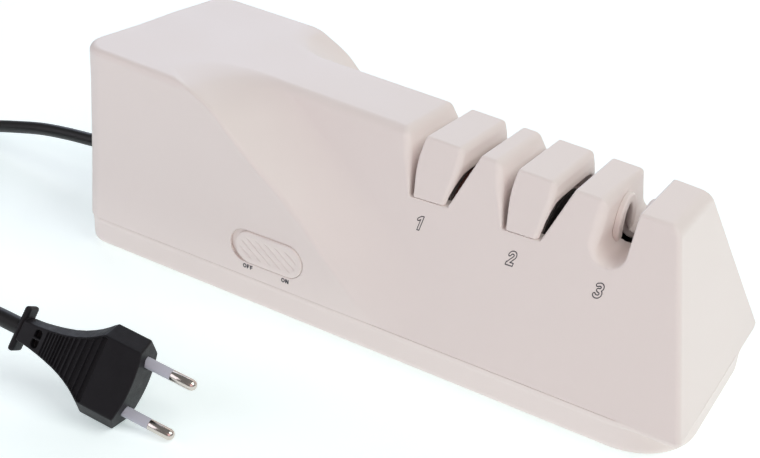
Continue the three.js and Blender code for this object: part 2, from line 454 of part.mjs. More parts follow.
// two-pin plug resting on the front end of one slanted side and on one pin, held up behind by its lead;
// local u along the pins, v across them, w through its thickness
export const PLUG = { x: 59.64, y: -133.10, z: 23.16, az: 9.006, dip: 11.6, roll: 57.88 };
const plugFrame = new THREE.Group();
{
  const az = PLUG.az * Math.PI / 180, dip = PLUG.dip * Math.PI / 180, ro = PLUG.roll * Math.PI / 180;
  const u = new THREE.Vector3(Math.cos(az) * Math.cos(dip), Math.sin(az) * Math.cos(dip), -Math.sin(dip));
  const h = new THREE.Vector3(Math.sin(az), -Math.cos(az), 0);
  const m = new THREE.Vector3().crossVectors(u, h);
  const v = h.clone().multiplyScalar(Math.cos(ro)).add(m.clone().multiplyScalar(Math.sin(ro)));
  const w = new THREE.Vector3().crossVectors(u, v);
  plugFrame.matrix.makeBasis(u, v, w).setPosition(PLUG.x, PLUG.y, PLUG.z);
  plugFrame.matrix.decompose(plugFrame.position, plugFrame.quaternion, plugFrame.scale);
}
group.add(plugFrame);
function putPlug(name, shape, material) {
  const mesh = new THREE.Mesh(shape instanceof THREE.BufferGeometry ? shape : toGeometry(shape), material);
  mesh.name = name;
  plugFrame.add(mesh);
}
{
  const half = [[0, 8.6], [3, 8.6], [3, 4.9], [11.9, 6.1], [19.5, 7.9], [25.4, 10.3], [29.7, 13], [32.6, 16.4], [46.4, 16.4], [48, 8.4], [48.6, 0]];
  const pts = half.concat([...half].reverse().slice(1).map(([u, v]) => [u, -v]));
  const s = new THREE.Shape(pts.map(([u, v]) => new THREE.Vector2(u, v)));
  const plan = new THREE.ExtrudeGeometry(s, { depth: 13.7, bevelEnabled: false });
  plan.translate(0, 0, -6.85);
  const hex = [[16.45, 0], [12.1, 6.85], [-12.1, 6.85], [-16.45, 0], [-12.1, -6.85], [12.1, -6.85]];
  const side = [[-1, -4.6], [3, -4.6], [11.9, -5.6], [27, -6.85], [60, -6.85], [60, 6.85], [27, 6.85], [11.9, 5.6], [3, 4.6], [-1, 4.6]];
  const sg = new THREE.ExtrudeGeometry(new THREE.Shape(side.map(([u, w]) => new THREE.Vector2(u, w))), { depth: 50, bevelEnabled: false });
  sg.applyMatrix4(new THREE.Matrix4().set(1, 0, 0, 0, 0, 0, -1, 25, 0, 1, 0, 0, 0, 0, 0, 1));
  let body = solid(plan).intersect(solid(prismYZ(hex, -2, 64))).intersect(solid(sg));
  for (const t of [-1, 1]) body = body.subtract(solid(turned([[0, 37], [2.25, 37], [2.25, 60], [0, 60]], t * 9, 0, 12)));
  putPlug('plug_body', body, black());
  for (const [k, t] of [['near', 1], ['far', -1]]) {
    putPlug(`plug_pin_${k}`, turned([[0, 37.3], [1.95, 37.3], [1.95, 65.4], [1.2, 66.7], [0, 67.1]], t * 9, 0, 12), M('#d8d2c8', 0.25, 1));
  }
}
// tie that holds the coil together
{
  let tie = solid(box(COIL.x + 25, COIL.x + 44, COIL.y - 4, COIL.y + 4, -1, COIL.h + 1.6));
  tie = tie.subtract(solid(box(COIL.x + 26.8, COIL.x + 42.2, COIL.y - 9, COIL.y + 9, -3, COIL.h + 0.4)));
  put('cord_tie', tie.subtract(solid(box(COIL.x, COIL.x + 60, COIL.y - 20, COIL.y + 20, -5, 0.0))), M('#202022', 0.6));
}

group.position.set(-CENTRE_X, 0, 0);   // origin at the centre of the footprint
export default group;
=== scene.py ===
"""Electric knife sharpener: visual model over the CAD frame. Metres; lengths in the shape functions are millimetres
along the body from the cord end (x), across it (y, front is negative) and up (z)."""

import json
import math

import bmesh
import bpy
import numpy as np
from mathutils import Matrix, Vector


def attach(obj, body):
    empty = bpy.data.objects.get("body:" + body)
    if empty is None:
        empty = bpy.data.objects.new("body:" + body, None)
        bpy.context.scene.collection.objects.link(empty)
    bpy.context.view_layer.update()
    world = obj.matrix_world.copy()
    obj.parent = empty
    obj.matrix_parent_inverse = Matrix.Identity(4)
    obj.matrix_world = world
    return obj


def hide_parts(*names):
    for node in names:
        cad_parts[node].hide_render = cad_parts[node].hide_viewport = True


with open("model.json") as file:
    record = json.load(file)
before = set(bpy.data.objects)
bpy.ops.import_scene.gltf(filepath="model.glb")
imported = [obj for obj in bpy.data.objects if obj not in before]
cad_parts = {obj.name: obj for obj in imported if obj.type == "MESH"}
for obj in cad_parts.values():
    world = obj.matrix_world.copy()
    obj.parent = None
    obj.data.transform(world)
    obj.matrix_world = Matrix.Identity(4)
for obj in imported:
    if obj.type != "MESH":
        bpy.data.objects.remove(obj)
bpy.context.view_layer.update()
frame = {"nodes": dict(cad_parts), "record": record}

MID = 134.0            # x of the middle of the body, the origin of the frame
SEAM = 14.5
AXIS = 45.0


def to_m(p):
    p = np.asarray(p, dtype=np.float64)
    return (p - np.array([MID, 0.0, 0.0])) * 0.001


# ------------------------------------------------------------------ camera
def camera():
    th, ps, ro = math.radians(27.7386), math.radians(30.3356), math.radians(-3.8151)
    f = Vector((-math.sin(ps) * math.cos(th), math.cos(ps) * math.cos(th), -math.sin(th)))
    r = Vector((math.cos(ps), math.sin(ps), 0))
    d = f.cross(r)
    right = r * math.cos(ro) + d * math.sin(ro)
    down = d * math.cos(ro) - r * math.sin(ro)
    data = bpy.data.cameras.new("camera")
    data.sensor_fit = "HORIZONTAL"
    data.sensor_width = 36.0
    data.lens = 1092.144 / 760 * 36
    data.clip_start, data.clip_end = 0.02, 20
    obj = bpy.data.objects.new("camera", data)
    bpy.context.scene.collection.objects.link(obj)
    m = Matrix.Identity(4)
    for i in range(3):
        m[i][0], m[i][1], m[i][2] = right[i], -down[i], -f[i]
    m.translation = Vector(to_m((323.326, -342.933, 235.795)))
    obj.matrix_world = m
    bpy.context.scene.camera = obj


# ------------------------------------------------------------------ materials
def material(name, base, rough, metal=0.0, vary=0.03, vary_scale=60.0, rough_vary=0.05, grain=0.0, grain_scale=3000.0,
             lump=0.0, lump_scale=200.0, coat=0.0, subsurface=0.0, specular=0.5, stretch=None):
    """Plastic, rubber or metal whose colour, roughness and surface vary over the object."""
    m = bpy.data.materials.new(name)
    m.use_nodes = True
    t = m.node_tree
    n = t.nodes
    b = n["Principled BSDF"]
    co = n.new("ShaderNodeTexCoord")
    src = co.outputs["Object"]
    if stretch:
        mp = n.new("ShaderNodeMapping")
        mp.inputs["Scale"].default_value = stretch
        t.links.new(src, mp.inputs["Vector"])
        src = mp.outputs["Vector"]
    big = n.new("ShaderNodeTexNoise")
    big.inputs["Scale"].default_value = vary_scale
    big.inputs["Detail"].default_value = 4
    t.links.new(src, big.inputs["Vector"])
    mix = n.new("ShaderNodeMix")
    mix.data_type = "RGBA"
    lo = [max(0.0, c * (1 - vary)) for c in base]
    hi = [min(1.0, c * (1 + vary)) for c in base]
    mix.inputs["A"].default_value = (*lo, 1)
    mix.inputs["B"].default_value = (*hi, 1)
    t.links.new(big.outputs["Fac"], mix.inputs["Factor"])
    t.links.new(mix.outputs["Result"], b.inputs["Base Color"])
    mid = n.new("ShaderNodeTexNoise")
    mid.inputs["Scale"].default_value = vary_scale * 2.3
    mid.inputs["Detail"].default_value = 3
    t.links.new(src, mid.inputs["Vector"])
    ramp = n.new("ShaderNodeMapRange")
    ramp.inputs["From Min"].default_value = 0.3
    ramp.inputs["From Max"].default_value = 0.7
    ramp.inputs["To Min"].default_value = max(0.02, rough - rough_vary)
    ramp.inputs["To Max"].default_value = min(1.0, rough + rough_vary)
    t.links.new(mid.outputs["Fac"], ramp.inputs["Value"])
    t.links.new(ramp.outputs["Result"], b.inputs["Roughness"])
    b.inputs["Metallic"].default_value = metal
    b.inputs["Specular IOR Level"].default_value = specular
    if coat:
        b.inputs["Coat Weight"].default_value = coat
        b.inputs["Coat Roughness"].default_value = 0.15
    if subsurface:
        b.inputs["Subsurface Weight"].default_value = subsurface
        b.inputs["Subsurface Radius"].default_value = (0.9, 0.6, 0.5)
        b.inputs["Subsurface Scale"].default_value = 0.0015
    last = None
    if grain:
        fine = n.new("ShaderNodeTexNoise")
        fine.inputs["Scale"].default_value = grain_scale
        fine.inputs["Detail"].default_value = 2
        t.links.new(src, fine.inputs["Vector"])
        bump = n.new("ShaderNodeBump")
        bump.inputs["Strength"].default_value = grain
        bump.inputs["Distance"].default_value = 0.0001
        t.links.new(fine.outputs["Fac"], bump.inputs["Height"])
        last = bump
    if lump:
        soft = n.new("ShaderNodeTexNoise")
        soft.inputs["Scale"].default_value = lump_scale
        soft.inputs["Detail"].default_value = 1
        t.links.new(src, soft.inputs["Vector"])
        bump = n.new("ShaderNodeBump")
        bump.inputs["Strength"].default_value = lump
        bump.inputs["Distance"].default_value = 0.0005
        t.links.new(soft.outputs["Fac"], bump.inputs["Height"])
        if last:
            t.links.new(last.outputs["Normal"], bump.inputs["Normal"])
        last = bump
    if last:
        t.links.new(last.outputs["Normal"], b.inputs["Normal"])
    return m


WHITE = material("shell_plastic", (0.885, 0.803, 0.765), 0.50, vary=0.012, vary_scale=18, rough_vary=0.03, grain=0.25,
                 grain_scale=2600, lump=0.02, lump_scale=40, subsurface=0.0)
RED_GRIT = material("diamond_grit_red", (0.085, 0.020, 0.012), 0.72, vary=0.45, vary_scale=900, rough_vary=0.12,
                    grain=0.9, grain_scale=4200)
BLACK_GRIT = material("resin_grit_black", (0.012, 0.009, 0.008), 0.75, vary=0.45, vary_scale=900, rough_vary=0.12,
                      grain=0.9, grain_scale=4200)
POLISH = material("polishing_compound", (0.036, 0.024, 0.021), 0.62, vary=0.22, vary_scale=420, rough_vary=0.1,
                  grain=0.7, grain_scale=3200)
STEEL = material("turned_steel", (0.56, 0.57, 0.58), 0.30, 1.0, vary=0.06, vary_scale=500, rough_vary=0.1, grain=0.15,
                 grain_scale=1500, stretch=(1, 6, 6))
BRONZE = material("sintered_bronze", (0.42, 0.28, 0.13), 0.45, 0.9, vary=0.15, vary_scale=900, grain=0.4)
NYLON = material("natural_nylon", (0.72, 0.70, 0.65), 0.5, vary=0.03, vary_scale=50, grain=0.2)
ZINC = material("zinc_plate", (0.42, 0.44, 0.46), 0.38, 0.95, vary=0.12, vary_scale=120, rough_vary=0.12, grain=0.1)
ROTOR = material("windings", (0.30, 0.11, 0.05), 0.35, 0.6, vary=0.3, vary_scale=600, grain=0.5, stretch=(0.2, 3, 3))
MOULD = material("black_moulding", (0.012, 0.012, 0.013), 0.45, vary=0.15, vary_scale=100, grain=0.3)
RUBBER = material("black_rubber", (0.016, 0.016, 0.017), 0.8, vary=0.2, vary_scale=140, grain=0.5)
BOARD = material("board_lacquer", (0.02, 0.11, 0.035), 0.3, vary=0.2, vary_scale=260, grain=0.1)
SLEEVE = material("capacitor_sleeve", (0.01, 0.02, 0.09), 0.25, vary=0.1, vary_scale=120, grain=0.05)
JACKET = material("cord_jacket", (0.0105, 0.0100, 0.0108), 0.42, vary=0.2, vary_scale=120, rough_vary=0.06, grain=0.25,
                  grain_scale=2600, lump=0.12, lump_scale=130, specular=0.35)
PLUG_SATIN = material("plug_satin", (0.0088, 0.0080, 0.0100), 0.46, vary=0.15, vary_scale=90, rough_vary=0.05, grain=0.5,
                      grain_scale=3600, specular=0.22)
NICKEL = material("nickel_plate", (0.66, 0.60, 0.55), 0.18, 1.0, vary=0.06, vary_scale=300, rough_vary=0.06, grain=0.05,
                  stretch=(1, 5, 5))
PIN_GREY = material("pin_sleeve_grey", (0.50, 0.50, 0.57), 0.42, vary=0.03, vary_scale=150, grain=0.1)
PRINT = material("print_ink", (0.050, 0.048, 0.058), 0.6, vary=0.2, vary_scale=700, grain=0.2)


# ------------------------------------------------------------------ meshes
def new_object(name, mesh, mats):
    obj = bpy.data.objects.new(name, mesh)
    bpy.context.scene.collection.objects.link(obj)
    for m in mats if isinstance(mats, (list, tuple)) else [mats]:
        mesh.materials.append(m)
    return obj


def raw_mesh(name, verts, faces, normals=None):
    """Quads or triangles from arrays. verts are in metres."""
    mesh = bpy.data.meshes.new(name)
    verts = np.ascontiguousarray(verts, dtype=np.float32)
    faces = np.ascontiguousarray(faces, dtype=np.int32)
    mesh.vertices.add(len(verts))
    mesh.vertices.foreach_set("co", verts.ravel())
    mesh.loops.add(faces.size)
    mesh.loops.foreach_set("vertex_index", faces.ravel())
    mesh.polygons.add(len(faces))
    mesh.polygons.foreach_set("loop_start", np.arange(0, faces.size, faces.shape[1], dtype=np.int32))
    mesh.polygons.foreach_set("use_smooth", np.ones(len(faces), dtype=bool))
    mesh.update(calc_edges=True)
    if normals is not None:
        mesh.normals_split_custom_set_from_vertices(np.asarray(normals, dtype=np.float32).tolist())
    return mesh


def net(fn, xs, ys, zs, rounds=5):
    """Skin of fn(x, y, z) = 0 on a grid of uneven steps, one vertex to a cell, each brought onto the surface, with
    its normal from the slope of fn. Returns (vertices in mm, quads, normals)."""
    xs, ys, zs = (np.asarray(a, dtype=np.float64) for a in (xs, ys, zs))
    d = fn(xs[:, None, None], ys[None, :, None], zs[None, None, :]).astype(np.float32)
    d = np.broadcast_to(d, (len(xs), len(ys), len(zs)))
    ins = d < 0
    count = np.zeros(tuple(n - 1 for n in d.shape), dtype=np.int8)
    for i in (0, 1):
        for j in (0, 1):
            for k in (0, 1):
                count += ins[i:ins.shape[0] - 1 + i, j:ins.shape[1] - 1 + j, k:ins.shape[2] - 1 + k]
    mixed = (count > 0) & (count < 8)
    index = np.full(count.shape, -1, dtype=np.int64)
    n = int(mixed.sum())
    index[mixed] = np.arange(n)
    total, weight = np.zeros((n, 3)), np.zeros(n)
    quads = []
    axes = (xs, ys, zs)
    for ax in range(3):
        lo = [slice(None)] * 3
        hi = [slice(None)] * 3
        lo[ax], hi[ax] = slice(0, -1), slice(1, None)
        a, b = ins[tuple(lo)], ins[tuple(hi)]
        ijk = np.argwhere(a != b)
        da = d[tuple(lo)][tuple(ijk.T)]
        db = d[tuple(hi)][tuple(ijk.T)]
        t = da / (da - db)
        p = np.stack([axes[c][ijk[:, c]] for c in range(3)], axis=1).astype(np.float64)
        p[:, ax] += t * (axes[ax][ijk[:, ax] + 1] - axes[ax][ijk[:, ax]])
        u, v = (ax + 1) % 3, (ax + 2) % 3
        ring = []
        ok = np.ones(len(ijk), dtype=bool)
        for du, dv in ((-1, -1), (0, -1), (0, 0), (-1, 0)):
            c = ijk.copy()
            c[:, u] += du
            c[:, v] += dv
            good = np.all((c >= 0) & (c < np.array(count.shape)), axis=1)
            ok &= good
            cell = np.where(good, index[tuple(np.clip(c, 0, np.array(count.shape) - 1).T)], -1)
            ring.append(cell)
            m = cell >= 0
            for q in range(3):
                total[:, q] += np.bincount(cell[m], weights=p[m, q], minlength=n)
            weight += np.bincount(cell[m], minlength=n)
        ring = np.stack(ring, axis=1)
        starts_in = a[tuple(ijk.T)]
        ring[~starts_in] = ring[~starts_in][:, ::-1]
        quads.append(ring[ok])
    pts = total / weight[:, None]
    quads = np.concatenate(quads)
    cells = np.argwhere(mixed)
    low = np.stack([axes[c][cells[:, c]] for c in range(3)], axis=1)
    high = np.stack([axes[c][cells[:, c] + 1] for c in range(3)], axis=1)
    pad = 0.15 * (high - low)

    def slope(p, h=0.02):
        g = np.empty_like(p)
        for c in range(3):
            e = np.zeros(3)
            e[c] = h
            g[:, c] = (fn(*(p + e).T) - fn(*(p - e).T)) / (2 * h)
        return g

    for _ in range(rounds):
        g = slope(pts)
        val = fn(*pts.T)
        step = g * (val / np.maximum((g * g).sum(1), 0.05))[:, None]
        pts = np.clip(pts - step, low - pad, high + pad)
    g = slope(pts, 0.05)
    g /= np.maximum(np.linalg.norm(g, axis=1), 1e-9)[:, None]
    return pts, quads, g


def skinned(name, fn, xs, ys, zs, mats, place=None):
    pts, quads, normals = net(fn, xs, ys, zs)
    if place is None:
        verts = to_m(pts)
    else:
        rot = np.array(place.to_3x3())
        verts = pts @ rot.T * 0.001 + np.array(place.translation)
        normals = normals @ rot.T
    return new_object(name, raw_mesh(name, verts, quads, normals), mats)


def steps(*spans):
    """steps((0, 10, 1), (10, 50, 2)): grid lines over spans (from, to, about this far apart)."""
    out = []
    for a, b, h in spans:
        n = max(1, int(round((b - a) / h)))
        out += list(np.linspace(a, b, n + 1)[(1 if out else 0):])
    return np.array(out)


def lathe(name, profile, mats, segments=64, place=None, sharp=35, mat_of=None):
    """Solid of revolution about local X. profile is a list of (x, r) in mm; ends on the axis or closes on itself."""
    bm = bmesh.new()
    rings = []
    for x, r in profile:
        if r < 1e-6:
            rings.append([bm.verts.new((x, 0, 0))])
        else:
            rings.append([bm.verts.new((x, r * math.cos(2 * math.pi * i / segments), r * math.sin(2 * math.pi * i / segments)))
                          for i in range(segments)])
    closed = profile[0][1] > 1e-6
    pairs = list(zip(range(len(rings) - 1), range(1, len(rings))))
    if closed:
        pairs.append((len(rings) - 1, 0))
    for k, (a, b) in enumerate(pairs):
        ra, rb = rings[a], rings[b]
        for i in range(segments):
            j = (i + 1) % segments
            vs = []
            for v in (ra[i % len(ra)], ra[j % len(ra)], rb[j % len(rb)], rb[i % len(rb)]):
                if v not in vs:
                    vs.append(v)
            if len(vs) > 2:
                f = bm.faces.new(vs)
                f.smooth = True
                if mat_of:
                    f.material_index = mat_of(0.5 * (profile[a][0] + profile[b][0]))
    bmesh.ops.recalc_face_normals(bm, faces=bm.faces)
    mesh = bpy.data.meshes.new(name)
    if place is None:
        place = Matrix.Translation(Vector((-MID * 0.001, 0, AXIS * 0.001)))
    bm.transform(place @ Matrix.Scale(0.001, 4))
    bm.to_mesh(mesh)
    bm.free()
    mesh.set_sharp_from_angle(angle=math.radians(sharp))
    return new_object(name, mesh, mats)


def rounded(profile, radii, n=5):
    """The profile with its corners rounded. radii is one number or one for each corner."""
    if not isinstance(radii, (list, tuple)):
        radii = [radii] * len(profile)
    out = []
    m = len(profile)
    closed = profile[0][1] > 1e-6
    for i, (p, r) in enumerate(zip(profile, radii)):
        if (not closed and i in (0, m - 1)) or r <= 0:
            out.append(p)
            continue
        p0, p1, p2 = (Vector(profile[(i - 1) % m]), Vector(p), Vector(profile[(i + 1) % m]))
        a, b = (p0 - p1), (p2 - p1)
        la, lb = a.length, b.length
        a.normalize()
        b.normalize()
        ang = a.angle(b)
        cut = min(r / math.tan(ang / 2), la * 0.48, lb * 0.48)
        s, e = p1 + a * cut, p1 + b * cut
        for k in range(n + 1):
            t = k / n
            out.append(tuple(s * (1 - t) ** 2 + p1 * (2 * t * (1 - t)) + e * t ** 2))
    return out


# ------------------------------------------------------------------ shape functions, mm
def rmax(a, b, r):
    """Intersection of two solids with a rounded edge."""
    return np.minimum(np.maximum(a, b), -r) + np.sqrt(np.maximum(a + r, 0) ** 2 + np.maximum(b + r, 0) ** 2)


def rmin(a, b, r):
    return -rmax(-a, -b, r)


def top_z(x):
    return 91.2 - 0.0634 * x


def fine_table(zs, values, soft):
    """The values on a close grid of heights, with their kinks eased over about 2 * soft mm."""
    grid = np.arange(-60.0, 110.0, 0.1)
    out = np.interp(grid, zs, values)
    lead_in = (zs[1] - zs[0], values[1] - values[0])
    low = grid < zs[0]
    out[low] = values[0] + (grid[low] - zs[0]) * lead_in[1] / lead_in[0]
    n = int(soft * 10)
    win = np.hanning(2 * n + 3)[1:-1]
    padded = np.concatenate([np.full(n, out[0]), out, np.full(n, out[-1])])
    return grid, np.convolve(padded, win / win.sum(), mode="valid")


# where the flat side of the bump turns in, and the radius of the hollow that runs out into the ridge
CREASE = fine_table([8.5, 35.5, 42.5, 48, 55.2, 59.8, 66.9, 73.3, 77.3, 80.2, 82.6, 84.9, 86.5, 87.4, 88, 92],
                    [154.7, 125, 118, 112, 104, 97.5, 88.1, 80.5, 76.5, 72.5, 68.1, 63.3, 60.5, 58, 55, 45], 2.2)
HOLLOW = fine_table([8, 14.5, 25, 40, 55, 75, 88], [250, 200, 150, 80, 40, 25, 20], 5.0)


def ridge_half(x, z):
    return 46.9 - 29.25 * (z - SEAM) / (top_z(x) - SEAM)


def side_half(z):
    return 46.1 + 0.8 * np.clip(1 - (z - SEAM) / 30, 0, 1)


def side_plan(x, y, z):
    """Distance to the long sides within one level: flat side of the bump, wall that turns in, hollow, ridge."""
    xc = np.interp(z, *CREASE)
    r = np.interp(z, *HOLLOW)
    low = np.clip(side_half(z) - ridge_half(xc, z), 0, r)
    start = xc + np.sqrt(r * r - (r - low) ** 2) - r
    a = np.abs(y)
    scoop = rmin(a - ridge_half(x, z), x - start, r)
    return rmax(a - side_half(z), scoop, np.interp(z, [35, 60], [0.4, 2.0]))


def side_distance(x, y, z):
    zc = np.clip(z, SEAM - 14, 91)
    f = side_plan(x, y, zc)
    fz = (side_plan(x, y, zc + 0.25) - side_plan(x, y, zc - 0.25)) / 0.5
    return f / np.sqrt(1 + fz * fz)


def front_half(x, z):
    """Half width where the print lies: flat side below, ridge beyond the hollow."""
    return side_half(z) if x < np.interp(z, *CREASE) else ridge_half(x, z)


def left_distance(x, z):
    return -(x - 0.0325 * (z - SEAM))


def right_distance(x, z):
    return (x - (267.9 - 0.3467 * (z - SEAM))) * 0.9448


def body(x, y, z, top_r=None, end_r=1.7, grow=0.0):
    """Outside of the whole body without its underside."""
    if top_r is None:
        ease = np.clip((x - 138) / 10, 0, 1)
        front = np.clip(0.5 - y / 24, 0, 1)
        top_r = (1.3 + 1.8 * front) * (1 - ease) + 1.0 * ease
    side = side_distance(x, y, z) + grow
    corner = 10.5 + 3.0 * np.clip((z - 16) / 60, 0, 1) * np.clip(0.5 - y / 24, 0, 1)
    d = rmax(side, left_distance(x, z) + grow, corner)
    lid = (z - top_z(x)) * 0.998 + grow
    top = rmax(right_distance(x, z) + grow, lid, 3.6)
    return rmax(d, top, top_r + (end_r - top_r) * np.clip((x - 236) / 8, 0, 1))


# guide walls of the V slots: x at height 60.6 and lean; floor height
NOTCH = [dict(a=149.7, ka=0.343, b=165.4, kb=0.374, floor=60.6),
         dict(a=187.1, ka=0.347, b=202.8, kb=0.370, floor=59.2)]
COVER = [dict(z=[60.68, 64, 68, 71, 74, 78, 82], l=[151.3, 150.65, 149.8, 149.4, 149.25, 149.55, 150.35],
              r=[164.4, 164.8, 165.3, 165.65, 165.9, 165.85, 165.6]),
         dict(z=[59.28, 63, 66, 69.5, 73, 76.5, 80], l=[189.2, 188.4, 187.8, 187.2, 187.0, 187.15, 187.6],
              r=[201.6, 202.0, 202.2, 202.4, 202.5, 202.3, 201.95])]
CHANNEL = (221.6, 232.6, 57.6)


def notch(x, z, n, grow=0.0):
    left = ((n["a"] - n["ka"] * (z - 60.6)) - x) / math.hypot(1, n["ka"]) - grow
    right = (x - (n["b"] + n["kb"] * (z - 60.6))) / math.hypot(1, n["kb"]) - grow
    return rmax(rmax(left, right, 0.3), n["floor"] - z - grow, 0.3)


def channel(x, z, grow=0.0):
    x0, x1, zb = CHANNEL
    return rmax(np.maximum(x0 - x, x - x1) - grow, zb - z - grow, 5.0)


def stadium(x, z, cx, cz, length, height):
    r = height / 2
    return np.hypot(np.maximum(np.abs(x - cx) - (length / 2 - r), 0), z - cz) - r


def block_side(x, z, c):
    left = np.interp(z, c["z"], c["l"]) - x
    right = x - np.interp(z, c["z"], c["r"])
    return left * 0.99, right * 0.99


SLOT = (99.3, 27.65)      # middle of the switch slot


def housing(x, y, z):
    shell = rmax(body(x, y, z), SEAM + 0.008 - z, 0.05)
    for n in NOTCH:
        up = z - n["floor"]
        lip = np.where(x < 0.5 * (n["a"] + n["b"]), np.interp(up, [0, 0.6, 3, 12], [0.12, 0.3, 0.9, 2.6]), np.interp(up, [0, 0.6, 3], [0.12, 0.3, 0.6]))
        shell = rmax(shell, -notch(x, z, n), lip)
    wide = np.interp(y, [-6, 14], [3.8, 1.9])
    lip = np.where(x < 227.1, 0.7 + (wide - 0.7) * np.clip((z - 57.6) / 6, 0, 1), 0.6)
    shell = rmax(shell, -channel(x, z), lip)
    hollow = body(x, y, z, 2.0, 1.5, 2.4)
    for n in NOTCH:
        hollow = np.maximum(hollow, -notch(x, z, n, 1.9))
    hollow = np.maximum(hollow, -channel(x, z, 1.9))
    # the wall is thin round the switch
    thin = np.maximum(np.maximum(np.maximum(x - 121.0, 77.0 - x), np.abs(z - SLOT[1]) - 8.7), np.maximum(y + 40, -45.5 - y))
    d = np.maximum(shell, -np.minimum(hollow, thin))
    # floor openings for the wheels
    for c in ((157.9, 6.9), (195.3, 6.9)):
        hole = rmax(np.abs(x - c[0]) - c[1], np.abs(y) - 20, 1.0)
        d = rmax(d, -np.maximum(hole, np.abs(z - 55) - 8), 0.35)
    # windows of the polishing channel
    win = (np.hypot(y / 4.6, (z - 62.3) / 7.9) - 1) * 5.6
    d = np.maximum(d, -np.maximum(win, np.abs(x - 227.2) - 9))
    # switch slot and cord hole
    slot = np.maximum(stadium(x, z, SLOT[0], SLOT[1], 34.6, 13.9), y + 40)
    d = rmax(d, -slot, 0.15)
    hole = np.maximum(np.hypot(y, z - 22) - 5.4, x - 8)
    return rmax(d, -hole, 0.5)


def base(x, y, z):
    side = rmax(np.abs(y) - 46.5, 0.5 - x, 10.5)
    # the corners at the polishing end are drawn in below the rim that carries the housing
    d = rmax(rmax(side, x - 267.75, 24.0), 1.5 - z, 3.4)
    rim = rmax(rmax(side, x - 267.8, 2.2), 12.5 - z, 0.5)
    d = rmax(rmin(d, rim, 0.5), z - (SEAM - 0.008), 0.05)
    tray = rmax(np.abs(y) - 43.9, 3.0 - x, 8.0)
    tray = rmax(rmax(tray, x - 265.4, 21.5), 4.0 - z, 2.2)
    return np.maximum(d, -tray)


def cover(i):
    c = COVER[i]
    xm = 0.5 * (c["l"][0] + c["r"][0])
    open_z = [(0, 69.8), (12, 69.8), (15.8, 69.3), (19.0, 67.6), (23.6, 64.2), (26.0, 61.0), (40, 50)]

    def fn(x, y, z):
        left, right = block_side(x, z, c)
        d = body(x, y, z, 0.8)
        d = rmax(d, left, 0.5)
        d = rmax(d, right, 2.4)
        d = rmax(d, c["z"][0] - z, 0.12)
        # hollow over the wheels
        inner = np.maximum(np.maximum(left, right) + 1.2, side_distance(x, y, z) + 2.2)
        inner = np.maximum(inner, z - (top_z(xm) - 3.0))
        d = np.maximum(d, -inner)
        # side openings
        cut = (z - np.interp(np.abs(y), [p[0] for p in open_z], [p[1] for p in open_z])) * 0.75
        cut = rmax(cut, side_distance(x, y, z) + 1.9, 0.8)
        return rmax(d, -cut, 0.9)

    return fn


def guide_ring(side):
    face = CHANNEL[0] if side > 0 else CHANNEL[1]

    def fn(x, y, z):
        out = (x - face) * side                                # height above the wall
        oval = (np.hypot(y / 8.9, (z - 61.9) / 12.2) - 1) * 10.2
        d = rmax(oval, out - 2.3, 0.9)
        d = np.maximum(d, 0.06 - out)
        d = np.maximum(d, channel(x, z) + 0.06)
        win = (np.hypot(y / 3.6, (z - 62.4) / 7.6) - 1) * 4.9
        return rmax(d, -win, 1.0)

    return fn


KNOB_X = SLOT[0] + 1.3


def knob(x, y, z):
    u0, v0 = x - KNOB_X, z - SLOT[1]
    s = stadium(x, z, KNOB_X, SLOT[1], 31.9, 13.78)
    # face proud in the rim, with a field of slanted grooves inside it
    field = stadium(x, z, KNOB_X, SLOT[1], 27.6, 9.4)
    lean = math.radians(54)
    u = u0 * math.cos(lean) + v0 * math.sin(lean)
    wave = np.abs(((u / 2.75 + 0.5) % 1.0) - 0.5) * 2.75      # distance from each groove line
    groove = np.clip(1 - (wave / 0.55) ** 2, 0, 1) * np.clip(-field / 0.8, 0, 1)
    dish = np.clip(-field / 1.6, 0, 1)
    front = -46.95 + 0.16 * dish * dish * (3 - 2 * dish) + 0.22 * groove
    d = rmax(s, front - y, 0.7)
    d = rmax(d, y + 41.9, 0.2)
    flange = np.maximum(np.maximum(np.abs(u0) - 19.9, np.abs(v0) - 8.2), np.abs(y + 43.43) - 2.0)
    return np.minimum(d, flange)


